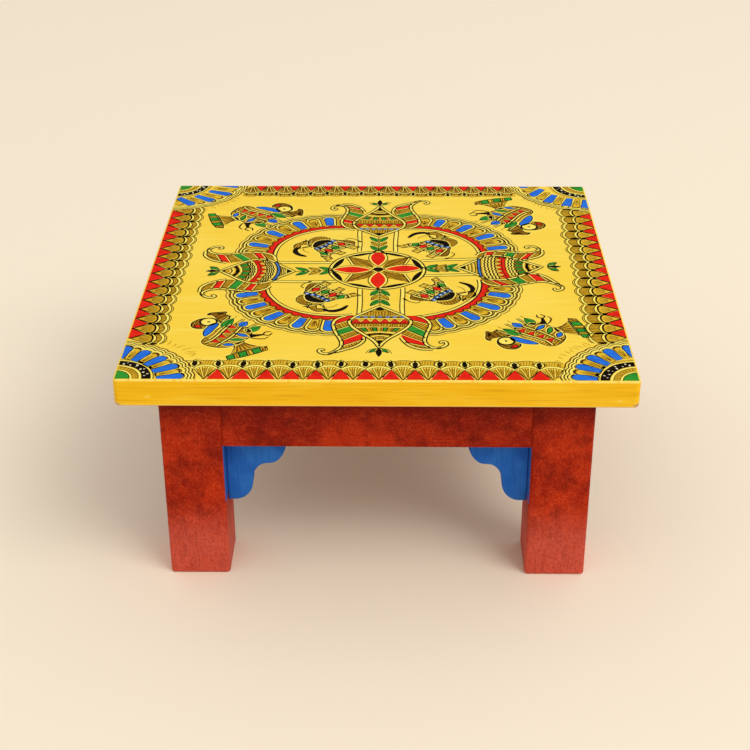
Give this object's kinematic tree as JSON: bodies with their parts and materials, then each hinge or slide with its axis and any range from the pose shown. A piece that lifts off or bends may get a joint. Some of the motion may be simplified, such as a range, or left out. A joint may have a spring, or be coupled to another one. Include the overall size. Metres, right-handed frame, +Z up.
{
  "type": "bajot low table",
  "caption": "Square low table with a thick painted top, square legs tenoned to rails, and scrolled brackets under the rails.",
  "frame": {"origin": "on the floor under the middle of the top", "axes": "+Z up, -Y the front that the picture shows, +X to the right seen from the front"},
  "size_m": [0.381, 0.381, 0.19],
  "materials": {
    "top_paint": "hand painted yellow, satin, brush and grain marks",
    "frame_paint": "hand painted red-brown, satin, rubbed paler towards the feet",
    "bracket_paint": "hand painted blue, satin",
    "bare_wood": "sawn and left bare",
    "steel": "plain steel"
  },
  "bodies": {
    "root": {"block_screw_rail_back": "steel", "block_screw_rail_front": "steel", "block_screw_rail_left": "steel", "block_screw_rail_right": "steel", "block_screw_top_back": "steel", "block_screw_top_front": "steel", "block_screw_top_left": "steel", "block_screw_top_right": "steel", "bracket_back_left": "bracket_paint", "bracket_back_right": "bracket_paint", "bracket_front_left": "bracket_paint", "bracket_front_right": "bracket_paint", "bracket_left_back": "bracket_paint", "bracket_left_front": "bracket_paint", "bracket_pin_side_back_left": "steel", "bracket_pin_side_back_right": "steel", "bracket_pin_side_front_left": "steel", "bracket_pin_side_front_right": "steel", "bracket_pin_side_left_back": "steel", "bracket_pin_side_left_front": "steel", "bracket_pin_side_right_back": "steel", "bracket_pin_side_right_front": "steel", "bracket_pin_up_back_left": "steel", "bracket_pin_up_back_right": "steel", "bracket_pin_up_front_left": "steel", "bracket_pin_up_front_right": "steel", "bracket_pin_up_left_back": "steel", "bracket_pin_up_left_front": "steel", "bracket_pin_up_right_back": "steel", "bracket_pin_up_right_front": "steel", "bracket_right_back": "bracket_paint", "bracket_right_front": "bracket_paint", "leg_back_left": "frame_paint", "leg_back_right": "frame_paint", "leg_front_left": "frame_paint", "leg_front_right": "frame_paint", "rail_back": "frame_paint", "rail_front": "frame_paint", "rail_left": "frame_paint", "rail_right": "frame_paint", "top_block_back": "bare_wood", "top_block_front": "bare_wood", "top_block_left": "bare_wood", "top_block_right": "bare_wood", "top_board_1": "top_paint", "top_board_2": "top_paint", "top_board_3": "top_paint"}
  },
  "joints": []
}
